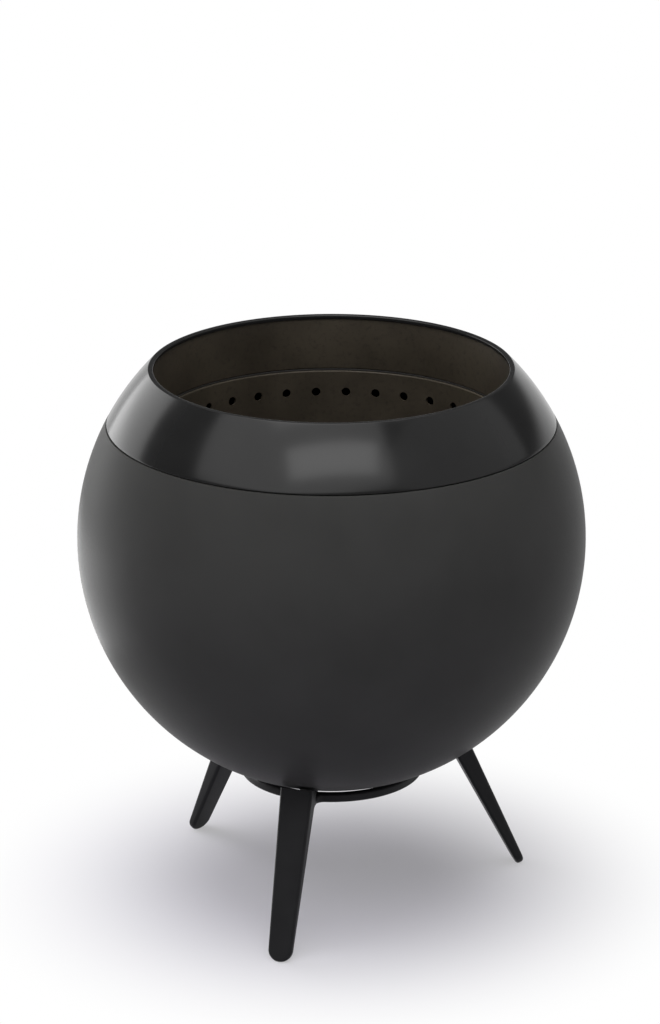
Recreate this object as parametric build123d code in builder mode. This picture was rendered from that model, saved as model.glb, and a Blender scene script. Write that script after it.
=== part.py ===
from build123d import *
import os
from math import asin, atan2, cos, degrees, hypot, radians, sin, sqrt

# A fire ball: a steel ball with a removable collar, on a cast ring and three splayed legs.
# Millimetres, +Z up. The origin is on the floor under the middle of the ball, and the front
# leg points along -Y.

# Ball
ball_radius = 225.0
ball_height = 333.0
shell_wall = 2.0
air_hole_radius = 58.0
air_lip_height = 7.0
edge_round = 0.6

# Collar: the top zone of the ball, folded over at the mouth
mouth_radius = 155.8
rim_width = 4.5
collar_height = 49.7
collar_wall = 1.5
seam_gap = 2.0
rim_round = 1.2
hem_depth = 3.5

# Liner and base that close the collar
liner_wall = 1.5
liner_fit = 0.1
liner_flange = 12.0
base_wall = 1.5
base_drop = 3.2
base_upstand = 10.0
base_fit = 0.15
base_play = 0.7
collar_rivets_count = 9
collar_rivet_radius = 2.0
collar_rivet_head = 3.6
collar_rivet_head_height = 1.4

# L-section ledge inside the shell, which carries the bowl's flange
seat_wall = 2.0
seat_width = 20.0
seat_leg = 12.0
seat_weld_gap = 0.3

# Fire bowl: a floor, a pressed cone, a rolled wall and a flat flange, welded together
bowl_sheet = 2.0
bowl_lip_play = 1.0
bowl_edge_round = 1.0
bowl_inset = 0.2
bowl_floor_rise = 74.0
bowl_floor_radius = 116.0
bowl_ledge = 12.0
bowl_ledge_rise = 58.0
cone_bend = 2.0
upper_holes_count = 36
upper_hole_radius = 4.0
upper_hole_drop = 20.0
lower_holes_count = 24
lower_hole_radius = 5.0
lower_hole_rise = 18.0

# Grate
grate_thickness = 6.0
grate_play = 3.0
grate_rim = 11.0
grate_bar = 8.0
grate_slot = 10.0
grate_web = 12.0
grate_round = 1.2

# Ash tray and its handle
tray_wall = 1.5
tray_height = 46.0
tray_floor_play = 5.0
tray_rim_play = 3.0
tray_lip = 5.0
tray_bend = 5.0
handle_span = 132.0
handle_width = 20.0
handle_strap = 3.0
handle_clearance = 36.0
handle_foot = 24.0
handle_bend = 9.0
handle_corner = 4.0
tray_rivet_radius = 2.5
tray_rivet_head = 4.0
tray_rivet_head_height = 1.6
tray_rivet_pitch = 10.0
tray_rivet_edge = 7.5

# Heat shield over the air hole
shield_rise = 40.0
shield_wall = 1.5
shield_margin = 21.0
shield_rim_height = 9.0
shield_rim_flare = 5.0

# Ring and arms of the stand
ring_inner_radius = 75.0
ring_width = 7.0
ring_thickness = 8.5
ring_seat_gap = 0.3
ring_round = 2.4
arm_width = 19.0
arm_fillet = 7.0
arm_length = 18.0
block_rise = 17.6
block_root = 11.0
block_round = 1.5
boss_radius = 8.0
ball_screw_inset = 4.0

# Legs
leg_count = 3
leg_offset = 39.0
leg_spread = 61.8
leg_gap = 3.0
foot_width = 21.8
leg_top_width = 30.3
foot_thickness = 7.5
leg_top_thickness = 17.6
leg_round = 3.0
leg_spare = 14.0
foot_flat_depth = 0.6
pocket_depth = 3.0
pocket_fit = 0.1

# Screws, washers and spacers
screw_radius = 3.0
screw_hole_play = 0.3
screw_thread_fit = 0.05
screw_head_shoulder = 2.0
screw_head_height = 6.0
screw_socket_share = 0.5
screw_socket_depth = 3.0
screw_head_chamfer = 0.6
counterbore_play = 0.6
washer_border = 1.5
washer_thickness = 1.6
spacer_wall = 2.7
spacer_seat_gap = 0.2
ball_screw_end_gap = 1.0
leg_screw_rise = 10.0
leg_screw_wall = 7.0
leg_screw_bite = 12.0
key_access = 22.0
leg_washer_play = 0.4
leg_washer_thickness = 1.0
rivet_crown = 0.7

front = 270.0
step = 360.0 / leg_count
ball_centre = (0, 0, ball_height)


def ball_low(reach, radius):
    # height of the underside of a sphere about the ball's centre
    return ball_height - sqrt(radius**2 - reach**2)


def ball_reach(height, radius):
    # distance from the axis of a sphere about the ball's centre
    return sqrt(radius**2 - (height - ball_height) ** 2)


def ball_arc(radius, low, high):
    # arc of a sphere's outline between two heights, in a profile
    start = degrees(asin((low - ball_height) / radius))
    end = degrees(asin((high - ball_height) / radius))
    return CenterArc((0, ball_height), radius, start, end - start)


# Heights, from the mouth down to the seam and from the foot of the ball up
rim_radius = mouth_radius + rim_width
rim_z = ball_height + sqrt(ball_radius**2 - rim_radius**2)
collar_z = rim_z - collar_height
shell_top_z = collar_z - seam_gap
base_z = collar_z - base_drop
flange_z = base_z - bowl_sheet
ball_bottom_z = ball_height - ball_radius
bowl_floor_z = ball_bottom_z + bowl_floor_rise
bowl_ledge_z = bowl_floor_z + bowl_ledge_rise
shield_z = ball_bottom_z + shield_rise
shell_inner = ball_radius - shell_wall
collar_inner = ball_radius - collar_wall

# Screw sizes and the circles that the ball's screws and the arms keep to
screw_hole_radius = screw_radius + screw_hole_play
screw_head_radius = screw_radius + screw_head_shoulder
screw_socket_radius = screw_head_radius * screw_socket_share
counterbore_radius = screw_head_radius + counterbore_play
washer_radius = screw_head_radius + washer_border
leg_washer_radius = counterbore_radius - leg_washer_play
spacer_radius = screw_hole_radius + spacer_wall
ring_outer_radius = ring_inner_radius + ring_width
ball_screw_reach = ring_inner_radius + ball_screw_inset
arm_reach = ring_outer_radius + arm_length
block_root_reach = ring_outer_radius + block_root
leg_top_reach = ring_outer_radius + leg_offset
foot_reach = leg_top_reach + leg_spread
shield_radius = ball_screw_reach + shield_margin

# The matte shell, open at the seam and at the air hole
with BuildPart() as lower_shell:
    with BuildSketch(Plane.XZ) as shell_profile:
        with BuildLine():
            hole_z = ball_low(air_hole_radius, ball_radius)
            lip_radius = air_hole_radius + shell_wall
            outside = ball_arc(ball_radius, hole_z, shell_top_z)
            inside = ball_arc(shell_inner, ball_low(lip_radius, shell_inner), shell_top_z)
            lip_top = hole_z + air_lip_height
            Polyline(outside @ 0, (air_hole_radius, lip_top), (lip_radius, lip_top), inside @ 0)
            Line(outside @ 1, inside @ 1)
        make_face()
        fillet(shell_profile.vertices().group_by(Axis.Y)[-1], edge_round)
    revolve(axis=Axis.Z)
    with BuildSketch(Plane.XY.offset(ball_bottom_z)):
        with PolarLocations(ball_screw_reach, leg_count, start_angle=front):
            Circle(screw_hole_radius)
    extrude(amount=shield_rise, mode=Mode.SUBTRACT)
lower_shell.part.label = "lower_shell"

# An L-section ledge inside the shell, under the seam
seat_radius = ball_reach(flange_z, shell_inner) - seat_weld_gap
with BuildPart() as seat_ring:
    with BuildSketch(Plane.XZ) as seat_profile:
        with BuildLine():
            inner_edge = seat_radius - seat_width
            Polyline(
                (seat_radius, flange_z),
                (inner_edge, flange_z),
                (inner_edge, flange_z - seat_leg),
                (inner_edge + seat_wall, flange_z - seat_leg),
                (inner_edge + seat_wall, flange_z - seat_wall),
                (seat_radius, flange_z - seat_wall),
                close=True,
            )
        make_face()
        fillet(seat_profile.vertices().sort_by_distance((inner_edge, flange_z))[0], seat_wall)
    revolve(axis=Axis.Z)
seat_ring.part.label = "seat_ring"

# The collar's skin: a zone of the ball, a flat rim and a hem turned down inside the mouth
hem_radius = mouth_radius + collar_wall
with BuildPart() as collar_skin:
    with BuildSketch(Plane.XZ) as skin_profile:
        with BuildLine():
            skin = ball_arc(ball_radius, collar_z, rim_z)
            fold_z = rim_z - collar_wall
            back = ball_arc(collar_inner, collar_z, fold_z)
            Line(skin @ 0, back @ 0)
            Polyline(
                skin @ 1,
                (mouth_radius, rim_z),
                (mouth_radius, rim_z - hem_depth),
                (hem_radius, rim_z - hem_depth),
                (hem_radius, fold_z),
                back @ 1,
            )
        make_face()
        fillet(skin_profile.vertices().group_by(Axis.Y)[-1], rim_round)
        fillet(skin_profile.vertices().group_by(Axis.Y)[0], edge_round)
    revolve(axis=Axis.Z)
collar_skin.part.label = "collar_skin"

# The liner, a plain wall inside the collar with a flange turned out at its foot
liner_radius = hem_radius + liner_fit
liner_z = base_z + base_wall
liner_top = rim_z - collar_wall - liner_wall
with BuildPart() as collar_liner:
    with BuildSketch(Plane.XZ) as liner_profile:
        with BuildLine():
            liner_back = liner_radius + liner_wall
            Polyline(
                (liner_radius, liner_top),
                (liner_radius, liner_z),
                (liner_back + liner_flange, liner_z),
                (liner_back + liner_flange, liner_z + liner_wall),
                (liner_back, liner_z + liner_wall),
                (liner_back, liner_top),
                close=True,
            )
        make_face()
        fillet(liner_profile.vertices().sort_by_distance((liner_radius, liner_z))[0], liner_wall)
    revolve(axis=Axis.Z)
    rivet_reach = liner_back + liner_flange / 2
    with BuildSketch(Plane.XY.offset(liner_z)):
        with PolarLocations(rivet_reach, collar_rivets_count):
            Circle(collar_rivet_radius)
    extrude(amount=liner_wall, mode=Mode.SUBTRACT)
collar_liner.part.label = "collar_liner"

# The base: a plate with an upstand that lies against the skin and drops into the shell's mouth
upstand_radius = collar_inner - base_fit
base_radius = ball_reach(shell_top_z, shell_inner) - base_play
with BuildPart() as collar_base:
    with BuildSketch(Plane.XZ) as base_profile:
        with BuildLine():
            outer_face = ball_arc(upstand_radius, collar_z, collar_z + base_upstand)
            inner_face = ball_arc(upstand_radius - base_wall, collar_z, collar_z + base_upstand)
            Line(outer_face @ 1, inner_face @ 1)
            Polyline(
                outer_face @ 0,
                (base_radius, base_z),
                (liner_radius, base_z),
                (liner_radius, liner_z),
                ((inner_face @ 0).X, liner_z),
                inner_face @ 0,
            )
        make_face()
        fillet(base_profile.vertices().sort_by_distance((base_radius, base_z))[0], edge_round)
    revolve(axis=Axis.Z)
    with BuildSketch(Plane.XY.offset(base_z)):
        with PolarLocations(rivet_reach, collar_rivets_count):
            Circle(collar_rivet_radius)
    extrude(amount=base_wall, mode=Mode.SUBTRACT)
collar_base.part.label = "collar_base"

# Rivets through the liner's flange and the base, flush underneath
with BuildPart() as collar_rivets:
    with BuildSketch(Plane.XY.offset(base_z)):
        with PolarLocations(rivet_reach, collar_rivets_count):
            Circle(collar_rivet_radius)
    extrude(amount=base_wall + liner_wall)
    with BuildSketch(Plane.XY.offset(liner_z + liner_wall)):
        with PolarLocations(rivet_reach, collar_rivets_count):
            Circle(collar_rivet_head)
    extrude(amount=collar_rivet_head_height)
    fillet(collar_rivets.edges().group_by(Axis.Z)[-1], collar_rivet_head_height * rivet_crown)
collar_rivets.part.label = "collar_rivets"

# The fire bowl's floor, a disc that the cone stands on
bowl_radius = mouth_radius + bowl_inset
bowl_outer_radius = bowl_radius + bowl_sheet
ledge_radius = bowl_radius - bowl_ledge
cone_slope = (ledge_radius - bowl_floor_radius) / bowl_ledge_rise
cone_wall = bowl_sheet * (1 + cone_slope)
with BuildPart() as bowl_floor:
    with BuildSketch(Plane.XY.offset(bowl_floor_z)):
        Circle(bowl_floor_radius + cone_wall)
    extrude(amount=-bowl_sheet)
bowl_floor.part.label = "bowl_floor"

# The bowl's cone, turned out at its top into a ledge for the grate and the wall
with BuildPart() as bowl_cone:
    with BuildSketch(Plane.XZ) as cone_profile:
        with BuildLine():
            Polyline(
                (bowl_floor_radius, bowl_floor_z),
                (ledge_radius, bowl_ledge_z),
                (bowl_outer_radius, bowl_ledge_z),
                (bowl_outer_radius, bowl_ledge_z - bowl_sheet),
                (ledge_radius + bowl_sheet, bowl_ledge_z - bowl_sheet),
                (bowl_floor_radius + cone_wall, bowl_floor_z),
                close=True,
            )
        make_face()
        fillet(cone_profile.vertices().sort_by_distance((ledge_radius, bowl_ledge_z))[0], cone_bend)
    revolve(axis=Axis.Z)
bowl_cone.part.label = "bowl_cone"

# The bowl's wall, rolled and pierced with two rows of air holes
with BuildPart() as bowl_wall:
    with BuildSketch(Plane.XY.offset(bowl_ledge_z)):
        Circle(bowl_outer_radius)
        Circle(bowl_radius, mode=Mode.SUBTRACT)
    extrude(amount=flange_z - bowl_ledge_z)
    upper_z = base_z - upper_hole_drop
    lower_z = bowl_ledge_z + lower_hole_rise
    for count, radius, height in (
        (upper_holes_count, upper_hole_radius, upper_z),
        (lower_holes_count, lower_hole_radius, lower_z),
    ):
        for turn in range(count):
            hole_plane = Plane.YZ.rotated((0, 0, turn * 360 / count)).offset(bowl_radius - bowl_sheet)
            with BuildSketch(hole_plane):
                with Locations((0, height)):
                    Circle(radius)
            extrude(amount=3 * bowl_sheet, mode=Mode.SUBTRACT)
bowl_wall.part.label = "bowl_wall"

# The bowl's flange, which hangs on the ledge in the shell and carries the collar
bowl_lip_radius = ball_reach(base_z, shell_inner) - bowl_lip_play
with BuildPart() as bowl_flange:
    with BuildSketch(Plane.XY.offset(flange_z)):
        Circle(bowl_lip_radius)
        Circle(bowl_radius, mode=Mode.SUBTRACT)
    extrude(amount=bowl_sheet)
    top_edges = bowl_flange.edges().group_by(Axis.Z)[-1]
    fillet(top_edges.sort_by(SortBy.RADIUS)[0], bowl_edge_round)
bowl_flange.part.label = "bowl_flange"

# The grate: a round casting of parallel bars with one web across them
grate_radius = bowl_radius - grate_play
with BuildPart() as grate:
    with BuildSketch(Plane.XY.offset(bowl_ledge_z)) as grate_plan:
        Circle(grate_radius)
        field = grate_radius - grate_rim
        pitch = grate_bar + grate_slot
        rows = int((field - grate_slot) / pitch)
        for row in range(-rows, rows + 1):
            across = row * pitch
            half_length = sqrt(field**2 - (abs(across) + grate_slot / 2) ** 2)
            slot_length = half_length - grate_web / 2
            for side in (-1, 1):
                with Locations((side * (grate_web / 2 + slot_length / 2), across)):
                    SlotOverall(slot_length, grate_slot, mode=Mode.SUBTRACT)
    extrude(amount=grate_thickness)
    outer_edges = grate.edges().filter_by(GeomType.CIRCLE)
    fillet([e for e in outer_edges if e.radius > field], grate_round)
grate.part.label = "grate"

# The ash tray: a conical pan on the bowl's floor, with a lip turned out
tray_z = bowl_floor_z
tray_floor_radius = bowl_floor_radius - tray_floor_play
tray_top_radius = bowl_floor_radius + cone_slope * tray_height - tray_rim_play
with BuildPart() as ash_tray:
    with BuildSketch(Plane.XZ) as tray_profile:
        with BuildLine():
            tray_neck = tray_top_radius - tray_lip
            tray_top = tray_z + tray_height
            Polyline(
                (0, tray_z),
                (tray_floor_radius, tray_z),
                (tray_neck, tray_top - tray_wall),
                (tray_top_radius, tray_top - tray_wall),
                (tray_top_radius, tray_top),
                (tray_neck - tray_wall, tray_top),
                (tray_floor_radius - tray_wall, tray_z + tray_wall),
                (0, tray_z + tray_wall),
                close=True,
            )
        make_face()
        tray_corners = tray_profile.vertices()
        fillet(tray_corners.sort_by_distance((tray_floor_radius, tray_z))[:2], tray_bend)
    revolve(axis=Axis.Z)
    rivet_x = handle_span / 2 - tray_rivet_edge
    with BuildSketch(Plane.XY.offset(tray_z)):
        with Locations((rivet_x, 0), (-rivet_x, 0)):
            with GridLocations(tray_rivet_pitch, tray_rivet_pitch, 1, 2):
                Circle(tray_rivet_radius)
    extrude(amount=tray_wall, mode=Mode.SUBTRACT)
ash_tray.part.label = "ash_tray"

# The tray's handle: a flat strap bent into an arch, with a foot at each end
handle_z = tray_z + tray_wall
with BuildPart() as tray_handle:
    with BuildSketch(Plane.XZ) as strap_profile:
        with BuildLine():
            half = handle_span / 2
            knee = half - handle_foot
            shoulder = knee - handle_bend
            top_z = handle_z + handle_clearance
            FilletPolyline(
                (-half, handle_z + handle_strap / 2),
                (-knee, handle_z + handle_strap / 2),
                (-shoulder, top_z + handle_strap / 2),
                (shoulder, top_z + handle_strap / 2),
                (knee, handle_z + handle_strap / 2),
                (half, handle_z + handle_strap / 2),
                radius=handle_bend,
            )
            offset(amount=handle_strap / 2, side=Side.BOTH, kind=Kind.INTERSECTION)
        make_face()
    extrude(amount=handle_width / 2, both=True)
    with BuildSketch(Plane.XY.offset(handle_z)):
        RectangleRounded(handle_span, handle_width, handle_corner)
    extrude(amount=handle_clearance + handle_strap, mode=Mode.INTERSECT)
    with BuildSketch(Plane.XY.offset(handle_z)):
        with Locations((rivet_x, 0), (-rivet_x, 0)):
            with GridLocations(tray_rivet_pitch, tray_rivet_pitch, 1, 2):
                Circle(tray_rivet_radius)
    extrude(amount=handle_strap, mode=Mode.SUBTRACT)
tray_handle.part.label = "tray_handle"

with BuildPart() as tray_rivets:
    with BuildSketch(Plane.XY.offset(tray_z)):
        with Locations((rivet_x, 0), (-rivet_x, 0)):
            with GridLocations(tray_rivet_pitch, tray_rivet_pitch, 1, 2):
                Circle(tray_rivet_radius)
    extrude(amount=tray_wall + handle_strap)
    with BuildSketch(Plane.XY.offset(handle_z + handle_strap)):
        with Locations((rivet_x, 0), (-rivet_x, 0)):
            with GridLocations(tray_rivet_pitch, tray_rivet_pitch, 1, 2):
                Circle(tray_rivet_head)
    extrude(amount=tray_rivet_head_height)
    fillet(tray_rivets.edges().group_by(Axis.Z)[-1], tray_rivet_head_height * rivet_crown)
tray_rivets.part.label = "tray_rivets"

# The heat shield: a dish that keeps embers and heat from the air hole
with BuildPart() as heat_shield:
    with BuildSketch(Plane.XZ) as shield_profile:
        with BuildLine():
            rim_foot = shield_radius + shield_wall
            Polyline(
                (0, shield_z),
                (rim_foot, shield_z),
                (rim_foot + shield_rim_flare, shield_z + shield_rim_height),
                (shield_radius + shield_rim_flare, shield_z + shield_rim_height),
                (shield_radius, shield_z + shield_wall),
                (0, shield_z + shield_wall),
                close=True,
            )
        make_face()
        fillet(shield_profile.vertices().sort_by_distance((rim_foot, shield_z))[:2], shield_wall)
    revolve(axis=Axis.Z)
    with BuildSketch(Plane.XY.offset(shield_z)):
        with PolarLocations(ball_screw_reach, leg_count, start_angle=front):
            Circle(screw_hole_radius)
    extrude(amount=shield_wall, mode=Mode.SUBTRACT)
heat_shield.part.label = "heat_shield"

# Tubes between shell and shield, cut to the shell's curve
with BuildPart() as shield_spacers:
    with BuildSketch(Plane.XY.offset(ball_bottom_z)):
        with PolarLocations(ball_screw_reach, leg_count, start_angle=front):
            Circle(spacer_radius)
            Circle(screw_hole_radius, mode=Mode.SUBTRACT)
    extrude(amount=shield_rise)
    with BuildSketch(Plane.XZ):
        with BuildLine():
            spacer_foot = shell_inner - spacer_seat_gap
            arc = ball_arc(spacer_foot, ball_low(air_hole_radius, spacer_foot), ball_height)
            Polyline(
                arc @ 0,
                (air_hole_radius, ball_bottom_z),
                (ball_radius + shell_wall, ball_bottom_z),
                (ball_radius + shell_wall, ball_height),
                arc @ 1,
            )
        make_face()
    revolve(axis=Axis.Z, mode=Mode.SUBTRACT)
shield_spacers.part.label = "shield_spacers"

# The leg's two broad faces, in the upright plane of a leg that points along +X
leg_top_z = ball_low(leg_top_reach, ball_radius + leg_gap)
leg_length = hypot(foot_reach - leg_top_reach, leg_top_z)
splay = degrees(atan2(foot_reach - leg_top_reach, leg_top_z))
taper = degrees(atan2(leg_top_thickness - foot_thickness, leg_length))
outward = (cos(radians(splay)), 0, sin(radians(splay)))
outer_plane = Plane(origin=(foot_reach, 0, 0), x_dir=(0, 1, 0), z_dir=outward)
inner_tilt = radians(splay + taper)
inner_origin = outer_plane.from_local_coords((0, 0, -foot_thickness))
inner_plane = Plane(
    origin=inner_origin, x_dir=(0, 1, 0), z_dir=(cos(inner_tilt), 0, sin(inner_tilt))
)
ring_z = ball_low(ring_inner_radius, ball_radius) - ring_seat_gap - ring_thickness
block_low = (ring_z - inner_origin.Z) / cos(inner_tilt)
block_high = block_low + block_rise
leg_screw_y = block_low + leg_screw_rise
tongue_depth = pocket_depth - pocket_fit


def beside_leg(along, out):
    # point of the leg's upright plane, from a distance up its inner face and one out from it
    point = inner_plane.from_local_coords((0, along, out))
    return (point.X, point.Z)


# One leg along +X: a full-round foot, rounded edges, a top cut clear of the ball
foot_drop = leg_round + (foot_thickness - leg_round) * outward[2] - leg_round * outward[0]
foot_y = (foot_drop - foot_flat_depth) / outward[0]
leg_end_y = leg_length + leg_spare
with BuildPart() as leg_pattern:
    with BuildSketch(outer_plane):
        with Locations((0, foot_y + foot_width / 2)):
            Circle(foot_width / 2)
        with Locations((0, leg_end_y)):
            Rectangle(leg_top_width, leg_round)
        make_hull()
    extrude(amount=-2 * leg_top_thickness)
    split(bisect_by=inner_plane, keep=Keep.TOP)
    across_leg = leg_pattern.faces().sort_by(Axis((0, 0, 0), outward))
    top_end = leg_pattern.faces().sort_by(Axis(outer_plane.origin, outer_plane.y_dir))[-1]
    long_edges = across_leg[0].edges() + across_leg[-1].edges()
    fillet(long_edges - top_end.edges(), leg_round)
    split(bisect_by=Plane.XY, keep=Keep.TOP)
    with Locations(ball_centre):
        Sphere(ball_radius + leg_gap, mode=Mode.SUBTRACT)
    with BuildSketch(inner_plane):
        with Locations((0, (block_low + block_high) / 2)):
            Rectangle(arm_width + 2 * pocket_fit, block_rise + 2 * pocket_fit)
    extrude(amount=pocket_depth, mode=Mode.SUBTRACT)
    with BuildSketch(inner_plane):
        with Locations((0, leg_screw_y)):
            Circle(screw_radius + screw_thread_fit)
    extrude(amount=leg_screw_bite + screw_thread_fit, mode=Mode.SUBTRACT)

legs = {}
for turn, name in enumerate(("leg_front", "leg_right", "leg_left")):
    with BuildPart() as leg:
        add(leg_pattern.part.rotate(Axis.Z, front + turn * step))
    leg.part.label = name
    legs[name] = leg.part

# The ring of the stand, with an arm and a raised block out to each leg
with BuildPart() as arm_block:
    with BuildSketch(Plane.XZ):
        with BuildLine():
            Polyline(
                (block_root_reach, ring_z),
                beside_leg(block_low, 0),
                beside_leg(block_low, tongue_depth),
                beside_leg(block_high, tongue_depth),
                beside_leg(block_high, 0),
                (block_root_reach, ring_z + ring_thickness),
                close=True,
            )
        make_face()
    extrude(amount=arm_width / 2, both=True)
    side_edges = arm_block.edges().filter_by(Axis.Y, reverse=True)
    fillet(side_edges, block_round)

with BuildPart() as stand_ring:
    with BuildSketch(Plane.XY.offset(ring_z)) as ring_plan:
        Circle(ring_outer_radius)
        with PolarLocations(arm_reach / 2, leg_count, start_angle=front):
            Rectangle(arm_reach, arm_width)
        junctions = ring_plan.vertices().group_by(lambda v: round(hypot(v.X, v.Y), 2))[0]
        fillet(junctions, arm_fillet)
        Circle(ring_inner_radius, mode=Mode.SUBTRACT)
    extrude(amount=ring_thickness)
    fillet(stand_ring.edges().filter_by(GeomType.LINE, reverse=True), ring_round)
    with BuildSketch(Plane.XY.offset(ring_z)):
        with PolarLocations(ball_screw_reach, leg_count, start_angle=front):
            Circle(boss_radius)
    extrude(amount=2 * ring_thickness)
    for turn in range(leg_count):
        add(arm_block.part.rotate(Axis.Z, front + turn * step))
    with Locations(ball_centre):
        Sphere(ball_radius + ring_seat_gap, mode=Mode.SUBTRACT)
    with BuildSketch(Plane.XY.offset(ring_z)):
        with PolarLocations(ball_screw_reach, leg_count, start_angle=front):
            Circle(screw_radius + screw_thread_fit)
    extrude(amount=3 * ring_thickness, mode=Mode.SUBTRACT)
    for turn in range(leg_count):
        turned = Location((0, 0, 0), (0, 0, front + turn * step))
        screw_face = Plane(turned * inner_plane.location)
        with BuildSketch(screw_face.offset(tongue_depth)):
            with Locations((0, leg_screw_y)):
                Circle(screw_hole_radius)
        extrude(amount=-(leg_screw_wall + tongue_depth), mode=Mode.SUBTRACT)
        with BuildSketch(screw_face.offset(-leg_screw_wall)):
            with Locations((0, leg_screw_y)):
                Circle(counterbore_radius)
        extrude(amount=-key_access, mode=Mode.SUBTRACT)
stand_ring.part.label = "stand_ring"

# Screws: a cap head with a hexagon socket, made on a plane that faces out of the head
washer_z = shield_z + shield_wall
ball_head_z = washer_z + washer_thickness
ball_screw_length = ball_head_z - ring_z - ball_screw_end_gap


def cap_screw(seat, length):
    # a screw whose head stands on the plane and whose shank goes the other way
    with BuildPart() as screw:
        with BuildSketch(seat):
            Circle(screw_head_radius)
        extrude(amount=screw_head_height)
        head_top = screw.edges().sort_by(Axis(seat.origin, seat.z_dir))[-1]
        chamfer(head_top, screw_head_chamfer)
        with BuildSketch(seat):
            Circle(screw_radius)
        extrude(amount=-length)
        with BuildSketch(seat.offset(screw_head_height)):
            RegularPolygon(screw_socket_radius, 6, major_radius=False)
        extrude(amount=-screw_socket_depth, mode=Mode.SUBTRACT)
    return screw.part


with BuildPart() as ball_screws:
    for turn in range(leg_count):
        angle = radians(front + turn * step)
        x = ball_screw_reach * cos(angle)
        y = ball_screw_reach * sin(angle)
        add(cap_screw(Plane(origin=(x, y, ball_head_z)), ball_screw_length))
ball_screws.part.label = "ball_screws"

with BuildPart() as ball_screw_washers:
    with BuildSketch(Plane.XY.offset(washer_z)):
        with PolarLocations(ball_screw_reach, leg_count, start_angle=front):
            Circle(washer_radius)
            Circle(screw_hole_radius, mode=Mode.SUBTRACT)
    extrude(amount=washer_thickness)
ball_screw_washers.part.label = "ball_screw_washers"

# Leg screws, driven outwards from the counterbores under the arms
with BuildPart() as leg_screw_washers:
    for turn in range(leg_count):
        seat_place = Location((0, 0, 0), (0, 0, front + turn * step)) * inner_plane.location
        with BuildSketch(Plane(seat_place).offset(-leg_screw_wall)):
            with Locations((0, leg_screw_y)):
                Circle(leg_washer_radius)
                Circle(screw_hole_radius, mode=Mode.SUBTRACT)
        extrude(amount=-leg_washer_thickness)
leg_screw_washers.part.label = "leg_screw_washers"

with BuildPart() as leg_screws:
    for turn in range(leg_count):
        seat_place = Location((0, 0, 0), (0, 0, front + turn * step)) * inner_plane.location
        face = Plane(seat_place)
        seat_point = face.from_local_coords(
            (0, leg_screw_y, -leg_screw_wall - leg_washer_thickness)
        )
        seat = Plane(origin=seat_point, x_dir=face.x_dir, z_dir=-face.z_dir)
        add(cap_screw(seat, leg_screw_wall + leg_washer_thickness + leg_screw_bite))
leg_screws.part.label = "leg_screws"

os.makedirs("parts", exist_ok=True)
pieces = (
    lower_shell,
    seat_ring,
    collar_skin,
    collar_liner,
    collar_base,
    collar_rivets,
    bowl_floor,
    bowl_cone,
    bowl_wall,
    bowl_flange,
    grate,
    ash_tray,
    tray_handle,
    tray_rivets,
    heat_shield,
    shield_spacers,
    stand_ring,
    ball_screws,
    ball_screw_washers,
    leg_screws,
    leg_screw_washers,
)
for piece in pieces:
    export_step(piece.part, f"parts/{piece.part.label}.step")
for name, leg_part in legs.items():
    export_step(leg_part, f"parts/{name}.step")
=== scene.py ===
import math

import bmesh
import bpy
from mathutils import Matrix, Vector


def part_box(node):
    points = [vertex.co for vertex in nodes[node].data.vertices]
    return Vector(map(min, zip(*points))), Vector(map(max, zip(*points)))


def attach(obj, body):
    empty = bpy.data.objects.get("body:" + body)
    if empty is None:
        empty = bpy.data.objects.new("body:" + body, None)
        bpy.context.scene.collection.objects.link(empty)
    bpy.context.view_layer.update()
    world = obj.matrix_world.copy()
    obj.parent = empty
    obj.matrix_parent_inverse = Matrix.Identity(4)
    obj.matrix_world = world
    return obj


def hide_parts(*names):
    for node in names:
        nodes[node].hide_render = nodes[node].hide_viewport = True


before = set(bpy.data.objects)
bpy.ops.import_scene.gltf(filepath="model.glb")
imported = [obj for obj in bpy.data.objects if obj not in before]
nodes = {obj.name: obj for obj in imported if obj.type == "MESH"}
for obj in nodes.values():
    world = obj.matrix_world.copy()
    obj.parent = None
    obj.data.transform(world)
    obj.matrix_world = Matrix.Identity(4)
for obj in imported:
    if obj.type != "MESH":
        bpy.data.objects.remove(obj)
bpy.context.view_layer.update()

mm = 0.001    # shapes are written in millimetres, the studio in metres
print("frame loaded:", len(nodes), "nodes")

# Small helpers

def srgb(code):
    # a hex colour as the linear values that shaders take
    parts = [int(code[i:i + 2], 16) / 255 for i in (1, 3, 5)]
    return [p / 12.92 if p <= 0.04045 else ((p + 0.055) / 1.055) ** 2.4 for p in parts] + [1.0]


def pick(sockets, key):
    # a socket by its name or place, passing over those that the node's mode has switched off
    return next(s for i, s in enumerate(sockets) if s.enabled and key in (i, s.name))


def addNode(tree, kind, inputs=None, **settings):
    # one node with its settings; an input is a value, a socket, or a node whose first output is linked
    node = tree.nodes.new(kind)
    for name, value in settings.items():
        setattr(node, name, value)
    for key, value in (inputs or {}).items():
        if isinstance(value, bpy.types.Node):
            value = next(s for s in value.outputs if s.enabled)
        if isinstance(value, bpy.types.NodeSocket):
            tree.links.new(value, pick(node.inputs, key))
        else:
            pick(node.inputs, key).default_value = value
    return node


def boxOf(name):
    # a CAD node's lowest and highest corners, in millimetres
    low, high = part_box(name)
    return low / mm, high / mm


# Camera, at the photograph's viewing angle

view = {
    "distance": 4.05,      # from the ball's middle
    "elevation": 19.58,    # degrees above the horizon
    "azimuth": 14.88,      # degrees round from the front leg
    "aimUp": 0.02195,      # the aim lies this far above the ball's middle
    "aimLeft": 0.00131,
    "roll": 0.062,
    "lens": 160.7,
    "far": 60,             # nothing beyond this is drawn
}
ballCentre = Vector((0, 0, 0.333))


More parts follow.
